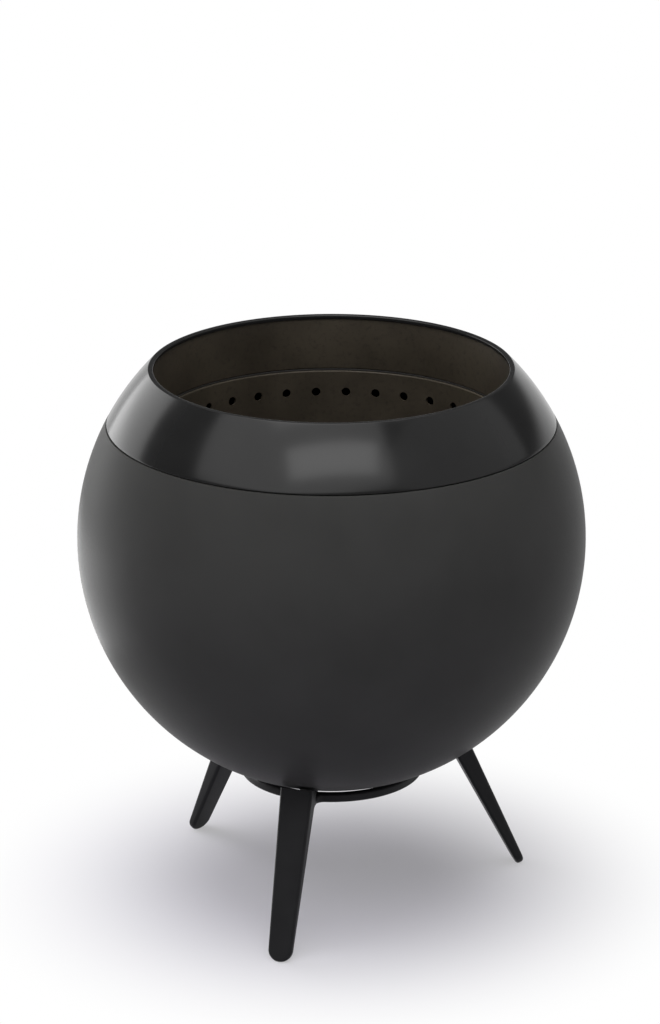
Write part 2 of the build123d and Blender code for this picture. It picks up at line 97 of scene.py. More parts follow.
def makeCamera():
    turn = math.radians(view["azimuth"])
    lift = math.radians(view["elevation"])
    back = Vector((math.sin(turn) * math.cos(lift), -math.cos(turn) * math.cos(lift), math.sin(lift)))
    right = Vector((math.cos(turn), math.sin(turn), 0))
    place = ballCentre + back * view["distance"]
    aim = ballCentre + back.cross(right) * view["aimUp"] - right * view["aimLeft"]
    back = (place - aim).normalized()
    right = (right - back * right.dot(back)).normalized()
    turned = Matrix((right, back.cross(right), back)).transposed().to_4x4()
    camera = bpy.data.objects.new("camera", bpy.data.cameras.new("camera"))
    camera.data.lens = view["lens"]
    camera.data.clip_end = view["far"]
    roll = Matrix.Rotation(math.radians(-view["roll"]), 4, "Z")
    camera.matrix_world = Matrix.Translation(place) @ turned @ roll
    bpy.context.collection.objects.link(camera)
    bpy.context.scene.camera = camera


makeCamera()
print("camera placed")

# Materials, each on Object coordinates; a Scale of 1000 / 90 is a pattern about 90 mm wide

# most of a noise lies in the middle, and nearly all of it in the spread
noiseMiddle = {"From Min": 0.35, "From Max": 0.65}
noiseSpread = {"From Min": 0.3, "From Max": 0.7}


def newMaterial(name):
    material = bpy.data.materials.new(name)
    material.use_nodes = True
    tree = material.node_tree
    tree.nodes.clear()
    place = addNode(tree, "ShaderNodeTexCoord").outputs["Object"]
    return material, tree, place


def cover(tree, bumps, shader):
    # the surface with its bumps stacked, each a height, its depth in millimetres and a strength
    for height, depth, strength in bumps:
        inputs = {"Height": height, "Distance": depth * mm, "Strength": strength}
        if "Normal" in shader:
            inputs["Normal"] = shader["Normal"]
        shader = {**shader, "Normal": addNode(tree, "ShaderNodeBump", inputs)}
    surface = addNode(tree, "ShaderNodeBsdfPrincipled", shader)
    addNode(tree, "ShaderNodeOutputMaterial", {"Surface": surface})


charcoal = {
    "dark": "#343433",
    "light": "#383837",
    "cloud": {"Scale": 1000 / 90, "Detail": 3},      # slow change of thickness over the ball
    "peel": {"Scale": 1000 / 6, "Detail": 2},        # orange peel
    "grain": {"Scale": 1000 / 1.4, "Detail": 2},     # really about 0.4, drawn coarser so that it shows
    "peelBump": (0.12, 0.2),
    "grainBump": (0.07, 0.5),
    "rough": {"To Min": 0.37, "To Max": 0.43},
    "specular": 0.035,    # the matting agent at the surface takes most of the shine away
}


def charcoalPowderCoat():
    # heat-proof polyester powder coat, sprayed and baked: dead matte with a fine grain
    material, tree, place = newMaterial("charcoalPowderCoat")
    cloud = addNode(tree, "ShaderNodeTexNoise", {"Vector": place, **charcoal["cloud"]})
    peel = addNode(tree, "ShaderNodeTexNoise", {"Vector": place, **charcoal["peel"]})
    grain = addNode(tree, "ShaderNodeTexNoise", {"Vector": place, **charcoal["grain"]})
    shade = addNode(tree, "ShaderNodeMapRange", {"Value": cloud, **noiseMiddle})
    colour = addNode(tree, "ShaderNodeMix", {"Factor": shade, "A": srgb(charcoal["dark"]),
                                             "B": srgb(charcoal["light"])}, data_type="RGBA")
    rough = addNode(tree, "ShaderNodeMapRange", {"Value": grain, **noiseSpread, **charcoal["rough"]})
    cover(tree, [(peel, *charcoal["peelBump"]), (grain, *charcoal["grainBump"])],
          {"Base Color": colour, "Roughness": rough, "Specular IOR Level": charcoal["specular"]})
    return material


enamel = {
    "dark": "#191919",
    "light": "#1c1c1c",
    "cloud": {"Scale": 1000 / 60, "Detail": 3},
    "peel": {"Scale": 1000 / 5, "Detail": 2},
    "peelBump": (0.08, 0.08),
    "rough": {"To Min": 0.16, "To Max": 0.19},
    "specular": 0.24,
}


def satinEnamel():
    # silicone stove enamel, wet sprayed on polished sheet: a smooth satin that mirrors the lamps
    material, tree, place = newMaterial("satinEnamel")
    cloud = addNode(tree, "ShaderNodeTexNoise", {"Vector": place, **enamel["cloud"]})
    peel = addNode(tree, "ShaderNodeTexNoise", {"Vector": place, **enamel["peel"]})
    shade = addNode(tree, "ShaderNodeMapRange", {"Value": cloud, **noiseMiddle})
    colour = addNode(tree, "ShaderNodeMix", {"Factor": shade, "A": srgb(enamel["dark"]),
                                             "B": srgb(enamel["light"])}, data_type="RGBA")
    rough = addNode(tree, "ShaderNodeMapRange", {"Value": cloud, **noiseSpread, **enamel["rough"]})
    cover(tree, [(peel, *enamel["peelBump"])],
          {"Base Color": colour, "Roughness": rough, "Specular IOR Level": enamel["specular"]})
    return material


fired = {
    "oxide": "#453e33",
    "brown": "#383229",
    "soot": "#221e1a",
    "patch": {"Scale": 1000 / 70, "Detail": 5, "Roughness": 0.6},
    "fleck": {"Scale": 1000 / 4, "Detail": 4, "Roughness": 0.7},
    "rolling": {"Scale": 1000 / 3, "Detail": 3},    # lines left by the mill, upright on a rolled wall
    "drawnOut": (1, 1, 0.06),                       # which makes lines of that noise
    "dirt": {"From Min": 0.52, "From Max": 0.75, "To Max": 0.6},    # the share of soot in a fleck
    "rollingBump": (0.06, 0.3),
    "fleckBump": (0.12, 0.3),
    "rough": {"To Min": 0.46, "To Max": 0.62},
    "metallic": 0.35,
}


def firedSteel():
    # cold-rolled mild steel after its first fires: a thin brown-black oxide with soot in patches
    material, tree, place = newMaterial("firedSteel")
    patch = addNode(tree, "ShaderNodeTexNoise", {"Vector": place, **fired["patch"]})
    fleck = addNode(tree, "ShaderNodeTexNoise", {"Vector": place, **fired["fleck"]})
    upright = addNode(tree, "ShaderNodeMapping", {"Vector": place, "Scale": fired["drawnOut"]})
    rolling = addNode(tree, "ShaderNodeTexNoise", {"Vector": upright, **fired["rolling"]})
    age = addNode(tree, "ShaderNodeMapRange", {"Value": patch, **noiseMiddle})
    dirt = addNode(tree, "ShaderNodeMapRange", {"Value": fleck, **fired["dirt"]})
    steel = addNode(tree, "ShaderNodeMix", {"Factor": age, "A": srgb(fired["brown"]),
                                            "B": srgb(fired["oxide"])}, data_type="RGBA")
    colour = addNode(tree, "ShaderNodeMix", {"Factor": dirt, "A": steel,
                                             "B": srgb(fired["soot"])}, data_type="RGBA")
    rough = addNode(tree, "ShaderNodeMapRange", {"Value": patch, **noiseSpread, **fired["rough"]})
    cover(tree, [(rolling, *fired["rollingBump"]), (fleck, *fired["fleckBump"])],
          {"Base Color": colour, "Metallic": fired["metallic"], "Roughness": rough})
    return material


casting = {
    "dark": "#202021",
    "light": "#252526",
    "cloud": {"Scale": 1000 / 40, "Detail": 3},
    "skin": {"Scale": 1000 / 9, "Detail": 2},      # the soft unevenness of a cast face under its coat
    "sand": {"Scale": 1000 / 1.6, "Detail": 3},    # grit of about 0.6, drawn coarser so that it shows
    "skinBump": (0.25, 0.25),
    "sandBump": (0.06, 0.3),
    "rough": {"To Min": 0.36, "To Max": 0.44},
    "specular": 0.1,
}


def blackCasting():
    # cast metal, shot-blasted and powder coated satin black: a soft sand texture under the coat
    material, tree, place = newMaterial("blackCasting")
    cloud = addNode(tree, "ShaderNodeTexNoise", {"Vector": place, **casting["cloud"]})
    skin = addNode(tree, "ShaderNodeTexNoise", {"Vector": place, **casting["skin"]})
    sand = addNode(tree, "ShaderNodeTexNoise", {"Vector": place, **casting["sand"]})
    shade = addNode(tree, "ShaderNodeMapRange", {"Value": cloud, **noiseMiddle})
    colour = addNode(tree, "ShaderNodeMix", {"Factor": shade, "A": srgb(casting["dark"]),
                                             "B": srgb(casting["light"])}, data_type="RGBA")
    rough = addNode(tree, "ShaderNodeMapRange", {"Value": sand, **noiseSpread, **casting["rough"]})
    cover(tree, [(skin, *casting["skinBump"]), (sand, *casting["sandBump"])],
          {"Base Color": colour, "Roughness": rough, "Specular IOR Level": casting["specular"]})
    return material


stovePaint = {
    "dark": "#171615",
    "light": "#23211e",
    "streak": {"Scale": 1000 / 8, "Detail": 4, "Roughness": 0.6},
    "streakBump": (0.1, 0.3),
    "rough": {"To Min": 0.55, "To Max": 0.75},
}


def brushedStovePaint():
    # stove paint brushed on pressed sheet: matte, with uneven marks of the brush
    material, tree, place = newMaterial("brushedStovePaint")
    streak = addNode(tree, "ShaderNodeTexNoise", {"Vector": place, **stovePaint["streak"]})
    shade = addNode(tree, "ShaderNodeMapRange", {"Value": streak, **noiseSpread})
    colour = addNode(tree, "ShaderNodeMix", {"Factor": shade, "A": srgb(stovePaint["dark"]),
                                             "B": srgb(stovePaint["light"])}, data_type="RGBA")
    rough = addNode(tree, "ShaderNodeMapRange", {"Value": streak, **noiseSpread, **stovePaint["rough"]})
    cover(tree, [(streak, *stovePaint["streakBump"])], {"Base Color": colour, "Roughness": rough})
    return material


iron = {
    "dark": "#221f1d",
    "light": "#37332f",
    "ash": "#76716a",
    "skin": {"Scale": 1000 / 1.8, "Detail": 4, "Roughness": 0.6},    # the pebbles of the sand mould
    "dust": {"Scale": 1000 / 30, "Detail": 6, "Roughness": 0.65},
    "settled": {"From Min": 0.5, "From Max": 0.75, "To Max": 0.65},    # the share of ash in the dust
    "skinBump": (0.3, 0.6),
    "rough": {"To Min": 0.6, "To Max": 0.85},
    "metallic": 0.3,
}


def sootyCastIron():
    # sand-cast grey iron, left raw: a pebbled skin with soot and grey ash lying in it
    material, tree, place = newMaterial("sootyCastIron")
    skin = addNode(tree, "ShaderNodeTexNoise", {"Vector": place, **iron["skin"]})
    dust = addNode(tree, "ShaderNodeTexNoise", {"Vector": place, **iron["dust"]})
    shade = addNode(tree, "ShaderNodeMapRange", {"Value": skin, **noiseSpread})
    settled = addNode(tree, "ShaderNodeMapRange", {"Value": dust, **iron["settled"]})
    bare = addNode(tree, "ShaderNodeMix", {"Factor": shade, "A": srgb(iron["dark"]),
                                           "B": srgb(iron["light"])}, data_type="RGBA")
    colour = addNode(tree, "ShaderNodeMix", {"Factor": settled, "A": bare,
                                             "B": srgb(iron["ash"])}, data_type="RGBA")
    rough = addNode(tree, "ShaderNodeMapRange", {"Value": dust, **noiseSpread, **iron["rough"]})
    cover(tree, [(skin, *iron["skinBump"])],
          {"Base Color": colour, "Metallic": iron["metallic"], "Roughness": rough})
    return material


zinc = {
    "dark": "#737476",
    "light": "#8a8b8c",
    "stained": "#4a4540",
    "crystal": {"Scale": 1000 / 6},
    "ash": {"Scale": 1000 / 35, "Detail": 5, "Roughness": 0.65},
    "stain": {"From Min": 0.42, "From Max": 0.7, "To Max": 0.85},    # how much of the ash has stained
    "ashBump": (0.15, 0.3),
    "rough": {"To Min": 0.38, "To Max": 0.55},
    "metallic": 0.85,
}


def galvanisedSheet():
    # hot-dip galvanised sheet: zinc crystals, each of its own grey, dulled and stained by ash
    material, tree, place = newMaterial("galvanisedSheet")
    crystals = addNode(tree, "ShaderNodeTexVoronoi", {"Vector": place, **zinc["crystal"]})
    tone = addNode(tree, "ShaderNodeSeparateColor", {"Color": crystals.outputs["Color"]})
    ash = addNode(tree, "ShaderNodeTexNoise", {"Vector": place, **zinc["ash"]})
    stain = addNode(tree, "ShaderNodeMapRange", {"Value": ash, **zinc["stain"]})
    clean = addNode(tree, "ShaderNodeMix", {"Factor": tone, "A": srgb(zinc["dark"]),
                                            "B": srgb(zinc["light"])}, data_type="RGBA")
    colour = addNode(tree, "ShaderNodeMix", {"Factor": stain, "A": clean,
                                             "B": srgb(zinc["stained"])}, data_type="RGBA")
    rough = addNode(tree, "ShaderNodeMapRange", {"Value": tone, **zinc["rough"]})
    cover(tree, [(ash, *zinc["ashBump"])],
          {"Base Color": colour, "Metallic": zinc["metallic"], "Roughness": rough})
    return material


blackened = {
    "oxide": "#2a2a2c",
    "worn": "#5a5957",
    "wear": {"Scale": 1000 / 2.5, "Detail": 4, "Roughness": 0.6},
    "rubbed": {"From Min": 0.5, "From Max": 0.75},    # where the oxide is worn off
    "wearBump": (0.04, 0.3),
    "rough": {"To Min": 0.28, "To Max": 0.42},
    "metallic": 0.9,
}


def blackenedScrew():
    # hardened screw steel, black oxide with a film of oil, rubbed grey in places
    material, tree, place = newMaterial("blackenedScrew")
    wear = addNode(tree, "ShaderNodeTexNoise", {"Vector": place, **blackened["wear"]})
    rubbed = addNode(tree, "ShaderNodeMapRange", {"Value": wear, **blackened["rubbed"]})
    colour = addNode(tree, "ShaderNodeMix", {"Factor": rubbed, "A": srgb(blackened["oxide"]),
                                             "B": srgb(blackened["worn"])}, data_type="RGBA")
    rough = addNode(tree, "ShaderNodeMapRange", {"Value": wear, **noiseSpread, **blackened["rough"]})
    cover(tree, [(wear, *blackened["wearBump"])],
          {"Base Color": colour, "Metallic": blackened["metallic"], "Roughness": rough})
    return material


finishes = {
    "shell_coat": charcoalPowderCoat(),
    "collar_enamel": satinEnamel(),
    "stand_coat": blackCasting(),
    "fired_steel": firedSteel(),
    "hidden_steel": brushedStovePaint(),
    "grate_iron": sootyCastIron(),
    "tray_steel": galvanisedSheet(),
    "screw_steel": blackenedScrew(),
}
print("materials made:", len(finishes))

# Geometry trees

poleGap = 0.005 * mm     # points of a turned piece nearer than this become one, at its seam and poles
facetGap = 0.002 * mm    # the same for the loose faces of a CAD mesh or a filled curve


def newTree(name, sockets):
    # a geometry tree with named inputs, each of them a title and a kind
    tree = bpy.data.node_groups.new(name, "GeometryNodeTree")
    for title, kind in {"Geometry": "Geometry", **sockets}.items():
        tree.interface.new_socket(title, in_out="INPUT", socket_type="NodeSocket" + kind)
    tree.interface.new_socket("Geometry", in_out="OUTPUT", socket_type="NodeSocketGeometry")
    return tree, addNode(tree, "NodeGroupInput").outputs


def closeTree(tree, geometry, wants):
    # smooth faces, sharp edges past an angle, a material, and the output
    smooth = addNode(tree, "GeometryNodeSetShadeSmooth", {"Geometry": geometry}, domain="FACE")
    angle = addNode(tree, "GeometryNodeInputMeshEdgeAngle")
    steep = addNode(tree, "ShaderNodeMath", {0: angle, 1: wants["Edge Angle"]}, operation="GREATER_THAN")
    sharp = addNode(tree, "GeometryNodeSetShadeSmooth", {"Geometry": smooth, "Selection": steep,
                                                         "Shade Smooth": False}, domain="EDGE")
    real = addNode(tree, "GeometryNodeRealizeInstances", {"Geometry": sharp})
    coated = addNode(tree, "GeometryNodeSetMaterial", {"Geometry": real, "Material": wants["Material"]})
    addNode(tree, "NodeGroupOutput", {"Geometry": coated})
    return tree


def turnedTree():
    # a grid with a row for each profile point and a column for each step round the axis
    tree, wants = newTree("turned", {"Segments": "Int", "Edge Angle": "Float", "Material": "Material"})
    profile = wants["Geometry"]
    rows = addNode(tree, "GeometryNodeAttributeDomainSize", {"Geometry": profile}).outputs["Point Count"]
    columns = addNode(tree, "ShaderNodeMath", {0: wants["Segments"], 1: 1.0}, operation="ADD")
    grid = addNode(tree, "GeometryNodeMeshGrid", {"Vertices X": columns, "Vertices Y": rows})
    index = addNode(tree, "GeometryNodeInputIndex")
    row = addNode(tree, "ShaderNodeMath", {0: index, 1: rows}, operation="MODULO")
    share = addNode(tree, "ShaderNodeMath", {0: index, 1: rows}, operation="DIVIDE")
    column = addNode(tree, "ShaderNodeMath", {0: share}, operation="FLOOR")
    place = addNode(tree, "GeometryNodeInputPosition")
    point = addNode(tree, "GeometryNodeSampleIndex", {"Geometry": profile, "Index": row, "Value": place},
                    data_type="FLOAT_VECTOR")
    part = addNode(tree, "ShaderNodeMath", {0: column, 1: wants["Segments"]}, operation="DIVIDE")
    angle = addNode(tree, "ShaderNodeMath", {0: part, 1: 2 * math.pi}, operation="MULTIPLY")
    spun = addNode(tree, "ShaderNodeVectorRotate", {"Vector": point, "Angle": angle},
                   rotation_type="Z_AXIS")
    turned = addNode(tree, "GeometryNodeSetPosition", {"Geometry": grid, "Position": spun})
    merged = addNode(tree, "GeometryNodeMergeByDistance", {"Geometry": turned, "Distance": poleGap})
    return closeTree(tree, merged, wants)


ringSockets = {"Count": "Int", "Start": "Float", "Reach": "Float", "Height": "Float", "Tilt": "Float"}


def ringTree():
    # copies of a small piece on a ring about the upright axis, each tilted outwards by an angle
    tree, wants = newTree("ring", {**ringSockets, "Edge Angle": "Float", "Material": "Material"})
    lean = addNode(tree, "ShaderNodeCombineXYZ", {"Y": wants["Tilt"]})
    where = addNode(tree, "ShaderNodeCombineXYZ", {"X": wants["Reach"], "Z": wants["Height"]})
    first = addNode(tree, "GeometryNodeTransform", {"Geometry": wants["Geometry"], "Translation": where,
                                                    "Rotation": lean})
    points = addNode(tree, "GeometryNodePoints", {"Count": wants["Count"]})
    step = addNode(tree, "ShaderNodeMath", {0: 2 * math.pi, 1: wants["Count"]}, operation="DIVIDE")
    index = addNode(tree, "GeometryNodeInputIndex")
    angle = addNode(tree, "ShaderNodeMath", {0: index, 1: step, 2: wants["Start"]},
                    operation="MULTIPLY_ADD")
    turn = addNode(tree, "ShaderNodeCombineXYZ", {"Z": angle})
    copies = addNode(tree, "GeometryNodeInstanceOnPoints", {"Points": points, "Instance": first,
                                                            "Rotation": turn})
    real = addNode(tree, "GeometryNodeRealizeInstances", {"Geometry": copies})
    return closeTree(tree, real, wants)


def piercedTree(ring):
    # a ring of round or six-sided holes cut through a piece
    tree, wants = newTree("pierced", {**ringSockets, "Sides": "Int", "Radius": "Float", "Depth": "Float",
                                      "Edge Angle": "Float", "Material": "Material"})
    punch = addNode(tree, "GeometryNodeMeshCylinder", {"Vertices": wants["Sides"],
                                                       "Radius": wants["Radius"],
                                                       "Depth": wants["Depth"]})
    passedOn = {name: wants[name] for name in ringSockets}
    punches = addNode(tree, "GeometryNodeGroup", {**passedOn, "Geometry": punch}, node_tree=ring)
    cut = addNode(tree, "GeometryNodeMeshBoolean", {0: wants["Geometry"], 1: punches},
                  operation="DIFFERENCE", solver="EXACT")
    return closeTree(tree, cut, wants)


drop = {
    "steps": 4,      # points along the bead for each drop of weld
    "swell": 0.1,    # the share by which it is wider in its middle
    "least": 0.9,    # and the shares between which its size varies by chance
    "most": 1.1,
    "sides": 10,
}


def weldTree():
    # a bead of weld round a ring: overlapping drops, each a little larger or smaller than the next
    tree, wants = newTree("weld", {"Reach": "Float", "Height": "Float", "Bead": "Float", "Pitch": "Float",
                                   "Seed": "Int", "Edge Angle": "Float", "Material": "Material"})
    way = addNode(tree, "ShaderNodeMath", {0: wants["Reach"], 1: 2 * math.pi}, operation="MULTIPLY")
    count = addNode(tree, "ShaderNodeMath", {0: way, 1: wants["Pitch"]}, operation="DIVIDE")
    drops = addNode(tree, "ShaderNodeMath", {0: count}, operation="FLOOR")
    steps = addNode(tree, "ShaderNodeMath", {0: drops, 1: drop["steps"]}, operation="MULTIPLY")
    circle = addNode(tree, "GeometryNodeCurvePrimitiveCircle", {"Resolution": steps,
                                                                "Radius": wants["Reach"]})
    index = addNode(tree, "GeometryNodeInputIndex")
    turn = 2 * math.pi / drop["steps"]
    phase = addNode(tree, "ShaderNodeMath", {0: index, 1: turn}, operation="MULTIPLY")
    wave = addNode(tree, "ShaderNodeMath", {0: phase}, operation="SINE")
    chance = addNode(tree, "FunctionNodeRandomValue", {"Min": drop["least"], "Max": drop["most"],
                                                       "ID": index, "Seed": wants["Seed"]})
    size = addNode(tree, "ShaderNodeMath", {0: wave, 1: drop["swell"], 2: chance},
                   operation="MULTIPLY_ADD")
    radius = addNode(tree, "ShaderNodeMath", {0: size, 1: wants["Bead"]}, operation="MULTIPLY")
    path = addNode(tree, "GeometryNodeSetCurveRadius", {"Curve": circle, "Radius": radius})
    section = addNode(tree, "GeometryNodeCurvePrimitiveCircle", {"Resolution": drop["sides"],
                                                                 "Radius": 1.0})
    bead = addNode(tree, "GeometryNodeCurveToMesh", {"Curve": path, "Profile Curve": section,
                                                     "Scale": radius})
    where = addNode(tree, "ShaderNodeCombineXYZ", {"Z": wants["Height"]})
    placed = addNode(tree, "GeometryNodeTransform", {"Geometry": bead, "Translation": where})
    return closeTree(tree, placed, wants)


def smoothTree():
    # joins a mesh's loose faces and smooths those that meet at a low angle
    tree, wants = newTree("smoothed", {"Edge Angle": "Float", "Material": "Material"})
    merged = addNode(tree, "GeometryNodeMergeByDistance", {"Geometry": wants["Geometry"],
                                                           "Distance": facetGap})
    return closeTree(tree, merged, wants)


turned = turnedTree()
ring = ringTree()
pierced = piercedTree(ring)
weld = weldTree()
smoothed = smoothTree()
lengths = ("Reach", "Height", "Radius", "Depth", "Bead", "Pitch")    # given in millimetres
angles = ("Start", "Tilt", "Edge Angle")                            # given in degrees
sharpPast = {"turned": 50, "screw": 30, "weld": 80, "cast": 40, "kept": 28}    # in degrees


def setInputs(modifier, tree, values):
    # a modifier's inputs by their titles, in the script's units
    modifier.node_group = tree
    for item in tree.interface.items_tree:
        if item.in_out == "INPUT" and item.name in values:
            value = values[item.name]
            if item.name in lengths:
                value = value * mm
            if item.name in angles:
                value = math.radians(value)
            modifier[item.identifier] = value


def runTree(name, mesh, tree, values):
    # a tree's result on a mesh, as a plain mesh whose faces point outwards
    piece = bpy.data.objects.new(name, mesh)
    bpy.context.collection.objects.link(piece)
    modifier = piece.modifiers.new("shape", "NODES")
    setInputs(modifier, tree, values)
    graph = bpy.context.evaluated_depsgraph_get()
    result = bpy.data.meshes.new_from_object(piece.evaluated_get(graph), depsgraph=graph)
    bpy.data.objects.remove(piece)
    work = bmesh.new()
    work.from_mesh(result)
    bmesh.ops.recalc_face_normals(work, faces=work.faces)
    work.to_mesh(result)
    work.free()
    result.name = name
    return result


def addPiece(name, mesh, body, slot, *old):
    # a finished mesh as a piece of the object, which stands for some CAD nodes
    piece = bpy.data.objects.new(name, mesh)
    bpy.context.collection.objects.link(piece)
    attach(piece, body)
    if old:
        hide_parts(*old)
    return piece


# Turned pieces

roundSteps = {"sheet": 256, "wall": 180, "screw": 48, "rivet": 24, "hole": 24}    # in a full circle
punchDepth = 12.0    # how long the tool is that cuts holes in a sheet
mostOfSide = 0.49    # the share of a side that one rounded corner may take


def rounded(corners, steps=6):
    # (r, z) or (r, z, radius) corners of a closed section, with each radius turned into an arc
    path = []
    for i, (r, z, *rest) in enumerate(corners):
        here = Vector((r, z))
        before = Vector(corners[i - 1][:2]) - here
        after = Vector(corners[(i + 1) % len(corners)][:2]) - here
        if not rest:
            path.append(here)
            continue
        turn = before.angle(after)
        reach = min(rest[0] / math.tan(turn / 2), before.length * mostOfSide, after.length * mostOfSide)
        radius = reach * math.tan(turn / 2)
        inwards = (before.normalized() + after.normalized()).normalized()
        middle = here + inwards * radius / math.sin(turn / 2)
        start = here + before.normalized() * reach - middle
        sweep = start.angle_signed(here + after.normalized() * reach - middle)
        for step in range(steps + 1):
            path.append(middle + Matrix.Rotation(-sweep * step / steps, 2) @ start)
    return path


def ballZone(radius, low, high, steps):
    # points on a ball's outline between two heights
    first = math.asin((low - ball["centre"]) / radius)
    last = math.asin((high - ball["centre"]) / radius)
    turns = [first + (last - first) * i / steps for i in range(steps + 1)]
    return [(radius * math.cos(a), ball["centre"] + radius * math.sin(a)) for a in turns]


def ballReach(height, radius):
    # how far from the axis a ball's outline is at a height
    return math.sqrt(radius ** 2 - (height - ball["centre"]) ** 2)


def ballLow(reach, radius):
    # how high the underside of a ball is at a distance from the axis
    return ball["centre"] - math.sqrt(radius ** 2 - reach ** 2)


def turnedMesh(name, corners, slot, segments=roundSteps["sheet"], holes=()):
    # a closed section spun round the axis, with rings of holes cut in it
    path = rounded(corners)
    profile = bpy.data.meshes.new(name + "Profile")
    profile.from_pydata([(p.x * mm, 0, p.y * mm) for p in path + path[:1]], [], [])
    common = {"Edge Angle": sharpPast["turned"], "Material": finishes[slot]}
    mesh = runTree(name, profile, turned, {"Segments": segments, **common})
    plain = {"Sides": roundSteps["hole"], "Start": 0, "Tilt": 0}
    for hole in holes:
        mesh = runTree(name, mesh, pierced, {**plain, **hole, **common})
    return mesh


def turnedPiece(name, corners, body, slot, old, segments=roundSteps["sheet"], holes=()):
    return addPiece(name, turnedMesh(name, corners, slot, segments, holes), body, slot, old)


# The ball: one spun shell, open at the seam and at the air hole underneath

ball = {
    "radius": 225.0,
    "centre": ballCentre.z / mm,
    "wall": 2.0,
    "airHole": 58.0,
    "airRound": 1.5,       # where the ball turns into the lip of the air hole
    "lipHeight": 7.0,      # upturned round the air hole
    "edge": 0.4,           # the sheet's cut edges, which are rounded off
    "steps": 110,
}
screwRing = {"Count": 3, "Start": -90, "Reach": 79.0}    # the circle of the ball's three screws
screwHole = 3.3    # for the screws of the ball and of the legs


def makeBall():
    shellTop = boxOf("lower_shell")[1].z
    inner = ball["radius"] - ball["wall"]
    lipOut = ball["airHole"] + ball["wall"]
    holeLow = ballLow(ball["airHole"], ball["radius"])
    lipTop = holeLow + ball["lipHeight"]
    outside = ballZone(ball["radius"], holeLow, shellTop, ball["steps"])
    inside = ballZone(inner, ballLow(lipOut, inner), shellTop, ball["steps"])
    outside[0] += (ball["airRound"],)
    outside[-1] += (ball["edge"],)
    inside[-1] += (ball["edge"],)
    lip = [(lipOut, lipTop, ball["edge"]), (ball["airHole"], lipTop, ball["edge"])]
    seat = ballLow(screwRing["Reach"], ball["radius"])
    hole = {**screwRing, "Height": seat, "Radius": screwHole, "Depth": punchDepth}
    corners = outside + inside[::-1] + lip
    turnedPiece("ballShell", corners, "root", "shell_coat", "lower_shell", holes=[hole])


makeBall()

# The collar: a zone of the same ball, folded over at the mouth, on a liner and a base

collar = {
    "skin": 1.5,
    "mouth": 155.8,
    "hang": 0.9,           # how far the skin hangs into the seam, to leave about 1 mm of it
    "rimRound": 1.2,
    "hem": 3.5,            # the fold's edge, turned down inside the mouth
    "liner": 1.5,
    "linerFit": 0.1,
    "linerFlange": 12.0,
    "base": 1.5,
    "baseUpstand": 10.0,
    "baseFit": 0.15,       # between the base's upstand and the skin
    "baseGap": 0.7,        # between the base and the ball's shell
    "edge": 0.35,
    "steps": 24,
    "baseSteps": 6,
}
rivets = {
    "count": 9,
    "shank": 2.0,
    "head": 3.6,
    "headHeight": 1.4,
    "crown": 0.98,
}


def makeCollar():
    edge, skin, mouth = collar["edge"], collar["skin"], collar["mouth"]
    low, rimTop = boxOf("collar_skin")[0].z, boxOf("collar_skin")[1].z
    fold, hemLow, hemOut = rimTop - skin, rimTop - collar["hem"], mouth + skin
    outer = ballZone(ball["radius"], low - collar["hang"], rimTop, collar["steps"])
    inner = ballZone(ball["radius"] - skin, low - collar["hang"], fold, collar["steps"])
    outer[0] += (ball["edge"],)
    inner[0] += (ball["edge"],)
    outer[-1] += (collar["rimRound"],)
    hem = [
        (mouth, rimTop, collar["rimRound"]), (mouth, hemLow, edge), (hemOut, hemLow, edge), (hemOut, fold),
    ]
    turnedPiece("collarSkin", outer + hem + inner[::-1], "collar", "collar_enamel", "collar_skin")

    wall, foot = hemOut + collar["linerFit"], boxOf("collar_liner")[0].z
    back, top = wall + collar["liner"], boxOf("collar_liner")[1].z
    lip, thick = back + collar["linerFlange"], foot + collar["liner"]
    holes = {"Count": rivets["count"], "Reach": back + collar["linerFlange"] / 2, "Height": foot,
             "Radius": rivets["shank"], "Depth": punchDepth}
    turnedPiece("collarLiner", [
        (wall, top, edge), (wall, foot, collar["liner"]), (lip, foot, edge), (lip, thick, edge),
        (back, thick, edge), (back, top, edge),
    ], "collar", "fired_steel", "collar_liner", holes=[holes])

    upstand = ball["radius"] - skin - collar["baseFit"]
    outer = ballZone(upstand, low, low + collar["baseUpstand"], collar["baseSteps"])
    inner = ballZone(upstand - collar["base"], low, low + collar["baseUpstand"], collar["baseSteps"])
    plate = boxOf("collar_base")[0].z
    reach = ballReach(boxOf("lower_shell")[1].z, ball["radius"] - ball["wall"]) - collar["baseGap"]
    outer[-1] += (edge,)
    inner[-1] += (edge,)
    turnedPiece("collarBase", [
        (reach, plate, ball["edge"]), *outer, *inner[::-1],
        (inner[0][0], foot), (wall, foot, edge), (wall, plate, edge),
    ], "collar", "hidden_steel", "collar_base", holes=[holes])

    shank, head, crown = rivets["shank"], rivets["head"], rivets["crown"]
    rise = collar["base"] + collar["liner"]
    rivet = turnedMesh("collarRivet", [
        (0, 0), (shank, 0), (shank, rise), (head, rise), (head, rise + rivets["headHeight"], crown),
        (0, rise + rivets["headHeight"]),
    ], "screw_steel", roundSteps["rivet"])
    place = {"Count": rivets["count"], "Start": 0, "Reach": holes["Reach"], "Height": plate, "Tilt": 0,
             "Edge Angle": sharpPast["turned"], "Material": finishes["screw_steel"]}
    mesh = runTree("collarRivets", rivet, ring, place)
    addPiece("collarRivets", mesh, "collar", "screw_steel", "collar_rivets")


makeCollar()
print("ball and collar made")

# The fire bowl: floor, cone, pierced wall and flange, welded together

